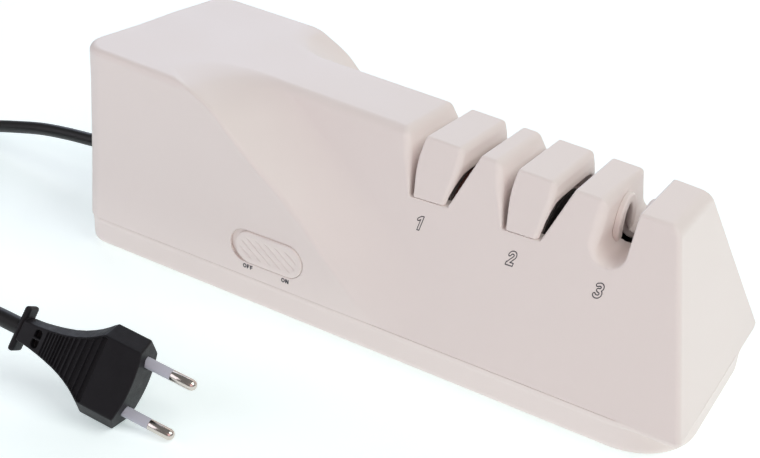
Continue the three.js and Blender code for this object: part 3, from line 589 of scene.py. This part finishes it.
# ------------------------------------------------------------------ housing, base, covers, switch
def build_body():
    xs = steps((-1.6, 14, 0.8), (14, 46, 2.0), (46, 76, 1.2), (76, 116, 0.8), (116, 136, 1.3), (136, 240, 0.7), (240, 270, 0.9))
    half = steps((0, 13, 1.3), (13, 28, 0.75), (28, 44, 0.9), (44, 45.2, 0.4), (45.2, 47.2, 0.25), (47.2, 48, 0.4))
    ys = np.concatenate([-half[::-1], half[1:]])
    zs = steps((14.2, 15.4, 0.15), (15.4, 17, 0.4), (17, 38, 0.6), (38, 56, 1.5), (56, 58.6, 0.65), (58.6, 61, 0.3), (61, 93, 0.75))
    h = skinned("housing_shell", housing, xs, ys, zs, WHITE)
    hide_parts("upper_housing")
    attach(h, "housing")

    xs = steps((-1, 14, 1.0), (14, 255, 3.0), (255, 273, 0.9))
    half = steps((0, 36, 3.0), (36, 48, 0.9))
    ys = np.concatenate([-half[::-1], half[1:]])
    b = skinned("base_tray", base, xs, ys, steps((0.6, 13.6, 0.75), (13.6, 15.0, 0.14)), WHITE)
    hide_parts("base_plate")
    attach(b, "housing")

    for i, (x0, x1, zt) in enumerate(((148.2, 167.2, 83.5), (186, 204, 81.2))):
        half = steps((0, 12, 1.2), (12, 27.5, 0.45))
        ys = np.concatenate([-half[::-1], half[1:]])
        c = skinned(f"stage_{i + 1}_block", cover(i), steps((x0, x1, 0.4)), ys, steps((COVER[i]["z"][0] - 0.5, zt, 0.4)), WHITE)
        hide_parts(f"stage_{i + 1}_cover")
        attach(c, "housing")

    for side, name in ((1, "left"), (-1, "right")):
        x0 = CHANNEL[0] - 0.4 if side > 0 else CHANNEL[1] - 3.4
        g = skinned(f"channel_ring_{name}", guide_ring(side), steps((x0, x0 + 3.8, 0.22)), steps((-12.6, 12.6, 0.4)),
                    steps((55.6, 76.8, 0.4)), WHITE)
        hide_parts(f"stage_3_guide_{name}")
        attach(g, "housing")

    k = skinned("switch_slider", knob, steps((79.5, 120.5, 0.3)), steps((-47.4, -45.0, 0.16), (-45.0, -40.6, 0.4)),
                steps((19.2, 36.4, 0.3)), WHITE)
    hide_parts("switch_knob")
    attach(k, "switch")


# ------------------------------------------------------------------ wheels and the rest of the drive
def build_wheels():
    r, t, bore = 22.5, 4.2, 4.1
    for name, face, s, mat, slot in (
            ("wheel_1_left", 151.8, 1, RED_GRIT, "wheel_stage_1"), ("wheel_1_right", 163.5, -1, RED_GRIT, "wheel_stage_1"),
            ("wheel_2_left", 189.2, 1, BLACK_GRIT, "wheel_stage_2"), ("wheel_2_right", 200.9, -1, BLACK_GRIT, "wheel_stage_2"),
            ("wheel_3_left", 219.4, -1, POLISH, "wheel_stage_3"), ("wheel_3_right", 235.2, 1, POLISH, "wheel_stage_3")):
        prof = [(0.9, bore), (0.9, 9.0), (0, 11.0), (0, r), (t, r), (t, 9.5), (t - 2.4, 9.5), (t - 2.4, bore)]
        prof = rounded(prof, [0.2, 0.3, 0.5, 0.8, 0.4, 0.3, 0.2, 0.2], 4)
        prof = [(face + s * a, b) for a, b in prof]
        # a thin coated face over the steel disc
        o = lathe(name + "_disc", prof, [mat, STEEL], 96, mat_of=lambda x, f=face, q=s: 0 if (x - f) * q < 1.4 else 1)
        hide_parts(name)
        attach(o, name)


def build_under():
    feet = {"foot_front_left": (40, -31), "foot_back_left": (40, 31), "foot_front_right": (216, -31), "foot_back_right": (216, 31)}
    for name, (x, y) in feet.items():
        place = Matrix.Translation(Vector(to_m((x, y, 0)))) @ Matrix.Rotation(math.radians(-90), 4, "Y")
        prof = rounded([(0, 0), (0, 6.2), (1.2, 7.0), (1.2, 0)], [0, 0.5, 0.1, 0], 4)
        o = lathe(name + "_pad", prof, RUBBER, 40, place)
        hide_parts(name)
        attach(o, "housing")
    posts = {"base_screw_back_left": (20, 33), "base_screw_front_left": (20, -33), "base_screw_back_right": (235, 31), "base_screw_front_right": (235, -31)}
    for name, (x, y) in posts.items():
        def screw(u, v, w, x=x, y=y):
            head = rmax(np.hypot(u - x, v - y) - 2.8, np.abs(w - 4.7) - 1.0, 0.5)
            arm = np.minimum(np.maximum(np.abs(u - x) - 0.45, np.abs(v - y) - 1.9), np.maximum(np.abs(v - y) - 0.45, np.abs(u - x) - 1.9))
            head = np.maximum(head, -np.maximum(arm, w - 4.9))
            shank = np.maximum(np.hypot(u - x, v - y) - (1.42 + 0.12 * np.cos(2 * math.pi * w / 1.3)), np.abs(w - 13.5) - 8.4)
            return np.minimum(head, shank)
        o = skinned(name + "_steel", screw, steps((x - 3.2, x + 3.2, 0.26)), steps((y - 3.2, y + 3.2, 0.26)),
                    steps((3.3, 6.1, 0.26), (6.1, 22.3, 0.5)), STEEL)
        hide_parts(name)
        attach(o, "housing")


# ------------------------------------------------------------------ print on the front
def front_point(x, z, out=0.06):
    """A point on the leaning front, a little proud of it, from x along the body and height z."""
    y = -float(front_half(x, z))
    return Vector((x, y - out, z))


def near_line(u, v, line):
    """Distance from (u, v) to a line through points."""
    best = None
    for (ax, ay), (bx, by) in zip(line[:-1], line[1:]):
        dx, dy = bx - ax, by - ay
        t = np.clip(((u - ax) * dx + (v - ay) * dy) / max(dx * dx + dy * dy, 1e-12), 0, 1)
        d = np.hypot(u - ax - t * dx, v - ay - t * dy)
        best = d if best is None else np.minimum(best, d)
    return best


def arc(cx, cy, rx, ry, a0, a1, n=14):
    return [(cx + rx * math.cos(math.radians(a0 + (a1 - a0) * i / n)), cy + ry * math.sin(math.radians(a0 + (a1 - a0) * i / n)))
            for i in range(n + 1)]


def slab(u, v, u0, u1, v0, v1):
    return np.maximum(np.abs(u - 0.5 * (u0 + u1)) - 0.5 * (u1 - u0), np.abs(v - 0.5 * (v0 + v1)) - 0.5 * (v1 - v0))


def digit(which):
    """Distance function of a bold numeral one unit high."""
    half = 0.105

    def fn(u, v):
        if which == 1:
            stem = slab(u, v, 0.26, 0.26 + 2 * half, 0.0, 1.0)
            flag = near_line(u, v, [(0.34, 0.93), (0.08, 0.74)]) - half
            return np.maximum(np.minimum(stem, flag), v - 1.0)
        if which == 2:
            line = [(0.09, 0.72)] + arc(0.33, 0.70, 0.235, 0.205, 170, -40, 12) + [(0.11, 0.095)]
            return np.minimum(near_line(u, v, line) - half, slab(u, v, 0.02, 0.64, 0.0, 2 * half))
        line = [(0.07, 0.84)] + arc(0.30, 0.72, 0.22, 0.185, 125, -90, 10) + [(0.24, 0.535)]
        low = arc(0.30, 0.295, 0.255, 0.20, 90, -150, 12)
        return np.minimum(near_line(u, v, line), near_line(u, v, low)) - half

    return fn


def capitals(text):
    """Distance function of bold capitals one unit high, and their width."""
    w = 0.24
    parts, x = [], 0.0
    for ch in text:
        if ch == "O":
            parts.append(lambda u, v, x=x: np.abs((np.hypot((u - x - 0.44) / 0.34, (v - 0.5) / 0.40) - 1) * 0.36) - w * 0.44)
            x += 1.0
        elif ch == "F":
            parts.append(lambda u, v, x=x: np.minimum(np.minimum(slab(u, v, x, x + w, 0, 1), slab(u, v, x, x + 0.62, 0.79, 1)),
                                                      slab(u, v, x, x + 0.56, 0.39, 0.60)))
            x += 0.80
        elif ch == "N":
            parts.append(lambda u, v, x=x: np.minimum(
                np.minimum(slab(u, v, x, x + w, 0, 1), slab(u, v, x + 0.58, x + 0.58 + w, 0, 1)),
                np.maximum(np.abs((u - x - 0.41) + (v - 0.5) * 0.46) - 0.14, np.abs(v - 0.5) - 0.5)))
            x += 0.9

    def fn(u, v):
        d = parts[0](u, v)
        for p in parts[1:]:
            d = np.minimum(d, p(u, v))
        return d

    return fn, x - 0.16


def lay_on_front(name, fn, cx, cz, width, size, slant=0.12):
    """Ink in the shape fn(u, v), in units of its height, laid on the leaning front about (cx, cz)."""
    h = 0.055 if size < 3 else 0.11
    pts, quads, _ = net(lambda u, v, w: np.maximum(fn(u / size, v / size) * size, np.abs(w) - 0.045) + 0 * u,
                        steps((-0.35, width * size + 0.35, h)), steps((-0.35, size + 0.35, h)), steps((-0.09, 0.09, 0.06)))
    verts = []
    for u, v, w in pts:
        verts.append(to_m(front_point(cx + (u - 0.5 * width * size) + slant * (v - 0.5 * size), cz + (v - 0.5 * size) * 0.916, 0.045 + w)))
    mesh = raw_mesh(name, np.array(verts), quads)
    mesh.polygons.foreach_set("use_smooth", np.zeros(len(mesh.polygons), dtype=bool))
    bm = bmesh.new()
    bm.from_mesh(mesh)
    bmesh.ops.recalc_face_normals(bm, faces=bm.faces)
    bm.to_mesh(mesh)
    bm.free()
    o = new_object(name, mesh, PRINT)
    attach(o, "housing")
    return o


def build_print():
    line = 0.036                         # the numerals are printed as outlines
    for which, cx, cz, h in ((1, 157.0, 53.1, 5.25), (2, 194.35, 51.45, 5.25), (3, 227.2, 50.35, 5.25)):
        solid = digit(which)
        lay_on_front(f"numeral_{which}", lambda u, v, f=solid: np.abs(f(u / 0.83, v)) - line, cx, cz, 0.56, h)
    for text, cx, cz in (("OFF", 90.85, 19.05), ("ON", 108.9, 19.05)):
        shape, width = capitals(text)
        lay_on_front("mark_" + text.lower(), shape, cx, cz, width, 1.95, slant=0.0)


# ------------------------------------------------------------------ mains lead and plug
CORD_D = 6.2
PLUG_AT = (59.64, -133.10, 23.16)
PLUG_AZ, PLUG_DIP, PLUG_ROLL = 9.006, 11.6, 57.88
COIL = (-114.0, -70.0)


def plug_axis():
    az, dip = math.radians(PLUG_AZ), math.radians(PLUG_DIP)
    return Vector((math.cos(az) * math.cos(dip), math.sin(az) * math.cos(dip), -math.sin(dip)))


def plug_place():
    """Frame of the plug: along its pins, across them, through its thickness. It rests on the front end of one slanted
    side and on the near pin; its lead holds it up behind."""
    az, ro = math.radians(PLUG_AZ), math.radians(PLUG_ROLL)
    u = plug_axis()
    h = Vector((math.sin(az), -math.cos(az), 0))
    v = h * math.cos(ro) + u.cross(h) * math.sin(ro)
    w = u.cross(v)
    m = Matrix.Identity(4)
    for i in range(3):
        m[i][0], m[i][1], m[i][2] = u[i], v[i], w[i]
    m.translation = Vector(to_m(PLUG_AT))
    return m


def lead_points():
    """Centreline of the whole lead from the strain relief, round the coil and to the plug, in mm."""
    out = [(-31.0, 0, 22.0), (-42.6, 0, 21.2), (-57.6, 0, 20.0), (-74.6, 0, 17.8), (-93.9, 0, 13.7), (-109.3, 0, 9.9),
           (-121, -0.3, 6.2), (-132, -2.6, 3.9), (-142, -8.8, 3.2), (-148.9, -17.6, 3.18), (-151.75, -29, 3.18), (-151.8, -43, 3.18), (-151.8, -57, 3.18)]
    cx, cy = COIL
    turns = []
    n = 14
    for i in range(int(4.25 * n) + 1):
        q = i / n                       # turns made
        ang = math.pi + 2 * math.pi * q
        # outer low, inner low, inner high, outer high
        def ramp(a, b):
            t = min(1.0, max(0.0, (q - a) / (b - a)))
            return t * t * (3 - 2 * t)
        r = 37.92 - 6.75 * ramp(0.86, 1.14) + 6.75 * ramp(2.86, 3.14)
        z = 3.18 + 6.5 * ramp(1.84, 2.16)
        turns.append((cx + r * math.cos(ang), cy + r * math.sin(ang), z))
    out += turns
    end = Vector(PLUG_AT) + plug_axis() * 1.5
    out += [(-99, -108.3, 9.3), (-84, -109.9, 6.8), (-69, -113.9, 4.2), (-54, -119.4, 3.35), (-40, -124.8, 3.45), (-26, -129.4, 5.9),
            (-11, -133.4, 11.0), (5, -136.0, 17.6), (20, -136.9, 22.9), (34, -136.4, 25.5), (47.2, -134.95, 25.2), tuple(end)]
    return out


def build_lead():
    pts = lead_points()
    data = bpy.data.curves.new("mains_lead", "CURVE")
    data.dimensions = "3D"
    data.bevel_depth = CORD_D / 2000
    data.bevel_resolution = 6
    data.resolution_u = 10
    data.use_fill_caps = True
    sp = data.splines.new("BEZIER")
    sp.bezier_points.add(len(pts) - 1)
    arr = np.array(pts)
    for i, bp in enumerate(sp.bezier_points):
        bp.co = Vector(to_m(arr[i]))
        a = arr[max(0, i - 1)]
        c = arr[min(len(arr) - 1, i + 1)]
        t = (c - a)
        t = t / np.linalg.norm(t)
        back = np.linalg.norm(arr[i] - a) / 3 if i > 0 else 2.0
        ahead = np.linalg.norm(c - arr[i]) / 3 if i < len(arr) - 1 else 2.0
        if i == 0:
            t = np.array([-1.0, 0, 0])
        if i == len(arr) - 1:
            t = np.array(plug_axis())
        bp.handle_left = Vector(to_m(arr[i] - t * back))
        bp.handle_right = Vector(to_m(arr[i] + t * ahead))
    lead = bpy.data.objects.new("mains_lead", data)
    bpy.context.scene.collection.objects.link(lead)
    data.materials.append(JACKET)
    # length along the drawn line
    line = 0.0
    bps = sp.bezier_points
    for i in range(len(bps) - 1):
        prev = bps[i].co.copy()
        for k in range(1, 25):
            t = k / 24
            p = (bps[i].co * (1 - t) ** 3 + bps[i].handle_right * 3 * t * (1 - t) ** 2 + bps[i + 1].handle_left * 3 * t * t * (1 - t) + bps[i + 1].co * t ** 3)
            line += (p - prev).length
            prev = p
    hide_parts("mains_cord", "cord_coil", "plug_lead")
    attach(lead, "housing")

    # strain relief with turned rings
    prof = [(-32, 0), (-32, 3.35), (-31.6, 3.9)]
    r0, r1, k = 4.1, 7.1, 9
    for i in range(k):
        a = -31.0 + i * 2.9
        f0, f1 = i / k, (i + 0.62) / k
        prof += [(a, r0 + (r1 - r0) * f0), (a + 1.8, r0 + (r1 - r0) * f1), (a + 2.05, r0 + (r1 - r0) * f1 - 0.75), (a + 2.7, r0 + (r1 - r0) * f1 - 0.75)]
    prof += [(-4.7, 7.2), (-0.3, 7.2), (-0.3, 5.1), (3.2, 5.1), (3.2, 7.8), (5.6, 7.8), (5.6, 5.1), (12, 5.1), (12, 0)]
    place = Matrix.Translation(Vector(to_m((0, 0, 22))))
    relief = lathe("cord_relief", [(a, r) for a, r in prof], JACKET, 48, place, sharp=50)
    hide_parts("strain_relief")
    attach(relief, "housing")
    return lead, line, relief


# grip grooves of the plug: where each lies along it and its half width
GRIP = [(13.3, 0.30), (14.5, 0.30), (15.7, 0.30), (16.9, 0.30), (18.1, 0.32), (19.35, 0.36), (20.75, 0.44), (22.35, 0.54), (24.2, 0.66),
        (26.3, 0.78), (28.6, 0.90), (31.0, 0.98), (33.3, 0.90)]


def build_plug():
    place = plug_place()
    us = [-4, 0, 3, 8, 11.9, 15.5, 19.5, 23, 25.8, 28, 30, 31.6, 32.9, 33.6, 60]
    vs = [4.8, 4.8, 4.9, 5.4, 6.1, 6.9, 8.0, 9.4, 10.9, 12.3, 13.9, 15.4, 16.4, 16.45, 16.45]
    tu = [-4, 3, 11.9, 20, 27, 60]
    tw = [4.3, 4.5, 5.5, 6.4, 6.85, 6.85]
    along = np.arange(-4, 60, 0.02)
    depth = np.zeros_like(along)
    for at, wide in GRIP:
        depth = np.maximum(depth, np.clip((wide + 0.12 - np.abs(along - at)) / 0.24, 0, 1))
    depth *= np.interp(along, [12, 20, 34], [0.55, 0.75, 1.0])

    def fn(u, v, w):
        h = np.interp(u, us, vs)
        k = np.interp(u + 0.5, us, vs) - np.interp(u - 0.5, us, vs)
        half = np.interp(u, tu, tw)
        a, b = np.abs(v), np.abs(w)
        face = h * 0.735                                     # half width of the flat face
        side = (a - h) / np.sqrt(1 + k * k)
        grip = np.clip((face - 0.35 - a) / 0.35, 0, 1)
        flat = b - half + np.interp(u, along, depth) * grip
        slant = (a * half + b * (h - face) - h * half) / np.hypot(half, h - face) / np.sqrt(1 + 0.7 * k * k)
        d = rmax(side, slant, 0.35)
        d = rmax(d, flat, 0.35)
        d = rmax(d, np.hypot(u - (48.6 - 53.0), v) - 53.0, 0.5)
        d = rmax(d, 2.6 - u, 0.3)
        # two small windows side by side in the neck
        win = rmax(a - 3.2, np.abs(u - 9.9) - 1.35, 1.0)
        pocket = np.maximum(np.maximum(win, 0.4 - a), 3.0 - b)
        d = rmax(d, -pocket, 0.15)
        # collar across the lead
        collar = rmax(rmax(np.abs(u - 1.3) - 1.2, a - 8.3, 1.1), b - 3.6, 1.4)
        d = rmin(d, collar, 0.4)
        # holes that the pins stand in
        for s in (-1, 1):
            d = np.maximum(d, -np.maximum(np.hypot(v - 9.0 * s, w) - 2.08, 43 - u))
        return d

    body_obj = skinned("plug_moulding", fn, steps((-0.6, 12, 0.4), (12, 35, 0.22), (35, 49.8, 0.5)), steps((-17.1, 17.1, 0.45)),
                       steps((-7.5, 7.5, 0.38)), PLUG_SATIN, place)
    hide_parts("plug_body")
    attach(body_obj, "housing")
    pins = []
    for name, s in (("near", 1), ("far", -1)):
        prof = [(44, 0), (44, 1.93), (57.2, 1.93), (57.45, 1.78), (57.7, 1.96), (65.2, 1.96), (66.1, 1.7), (66.7, 1.2), (67.0, 0.5), (67.1, 0)]
        at = place @ Matrix.Translation(Vector((0, 9.0 * s * 0.001, 0)))
        pin = lathe(f"pin_{name}", prof, [PIN_GREY, NICKEL], 48, at, sharp=40, mat_of=lambda x: 0 if x < 57.4 else 1)
        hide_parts(f"plug_pin_{name}")
        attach(pin, "housing")
        pins.append(pin)
    return body_obj, pins


def build_tie():
    cx, cy = COIL

    def fn(x, y, z):
        u, v = x - cx - 34.5, y - cy
        outer = rmax(np.abs(u) - 9.5, np.abs(z - 6.6) - 7.6, 2.5)
        inner = rmax(np.abs(u) - 8.4, np.abs(z - 6.5) - 6.6, 1.8)
        return rmax(np.maximum(outer, -inner), np.abs(v) - 3.9, 0.35)

    # its lowest strip lies under the cord, pressed flat on the surface
    def fn2(x, y, z):
        return np.maximum(fn(x, y, z), 0.04 - z)

    o = skinned("coil_tie", fn2, steps((cx + 24.4, cx + 44.6, 0.35)), steps((cy - 4.4, cy + 4.4, 0.4)), steps((-0.5, 14.8, 0.3)), MOULD)
    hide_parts("cord_tie")
    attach(o, "housing")
    return o


# ------------------------------------------------------------------ carried-over CAD nodes
KEEP = {
    "steel": STEEL, "sintered_bronze": BRONZE, "nylon": NYLON, "zinc_steel": ZINC, "winding_and_iron": ROTOR,
    "black_moulding": MOULD, "black_rubber": RUBBER, "board": BOARD, "capacitor_sleeve": SLEEVE, "cord_jacket": JACKET,
    "nickel_pin": NICKEL, "white_plastic": WHITE, "wheel_stage_1": RED_GRIT, "wheel_stage_2": BLACK_GRIT, "wheel_stage_3": POLISH,
}


def dress_frame():
    slots = {s["node"]: s["material_slot"] for s in frame["record"]["subparts"]}
    for name, obj in frame["nodes"].items():
        obj.data.materials.clear()
        obj.data.materials.append(KEEP[slots[name]])


# ------------------------------------------------------------------ room and light
def area(name, size, at, towards, power, colour=(1, 1, 1)):
    data = bpy.data.lights.new(name, "AREA")
    data.shape = "RECTANGLE"
    data.size, data.size_y = size
    data.energy = power
    data.color = colour
    o = bpy.data.objects.new(name, data)
    bpy.context.scene.collection.objects.link(o)
    o.location = at
    o.rotation_euler = (Vector(towards) - Vector(at)).to_track_quat("-Z", "Y").to_euler()
    return o


def build_room():
    s = 3.0
    bm = bmesh.new()
    vs = [bm.verts.new(p) for p in ((-s, -s, 0), (s, -s, 0), (s, s, 0), (-s, s, 0))]
    bm.faces.new(vs)
    mesh = bpy.data.meshes.new("floor")
    bm.to_mesh(mesh)
    bm.free()
    m = bpy.data.materials.new("floor_paper")
    m.use_nodes = True
    b = m.node_tree.nodes["Principled BSDF"]
    b.inputs["Base Color"].default_value = (0.93, 0.93, 0.935, 1)
    b.inputs["Roughness"].default_value = 0.9
    b.inputs["Specular IOR Level"].default_value = 0.1
    b.inputs["Emission Color"].default_value = (0.804, 1.0, 0.990, 1)
    b.inputs["Emission Strength"].default_value = 0.3935     # a lit table: soft light from below, hardly a shadow
    floor = new_object("floor", mesh, m)

    world = bpy.data.worlds.new("studio")
    bpy.context.scene.world = world
    world.use_nodes = True
    bg = world.node_tree.nodes["Background"]
    bg.inputs["Color"].default_value = (1.0, 1.0, 1.0, 1)
    bg.inputs["Strength"].default_value = 0.2
    for name, towards, power, colour in (
            ("light_right_high", (0.6, 0, 0.8), 12.87, (0.928, 1.0, 0.984)), ("light_front_right", (0.55, -0.7, 0.45), 3.6, (1.0, 0.617, 0.633)),
            ("light_front_left", (-0.6, -0.65, 0.45), 6.0, (0.94, 0.905, 1.0)),
            ("light_back_left", (-0.6, 0.65, 0.45), 8.31, (0.736, 0.819, 1.0)), ("light_back", (0, 0.85, 0.5), 4.35, (1.0, 0.903, 0.869))):
        at = Vector(towards).normalized() * 1.7
        area(name, (1.1, 1.1), at, (0, 0, 0.04), power, colour)
    sc = bpy.context.scene
    sc.view_settings.view_transform = "Standard"
    sc.view_settings.look = "None"
    sc.view_settings.exposure = 0.0
    sc.view_settings.gamma = 1.0


# ------------------------------------------------------------------ build
camera()
lead, lead_length, relief = build_lead()
plug, pins = build_plug()
tie = build_tie()
dress_frame()
build_body()
build_wheels()
build_under()
build_print()
build_room()
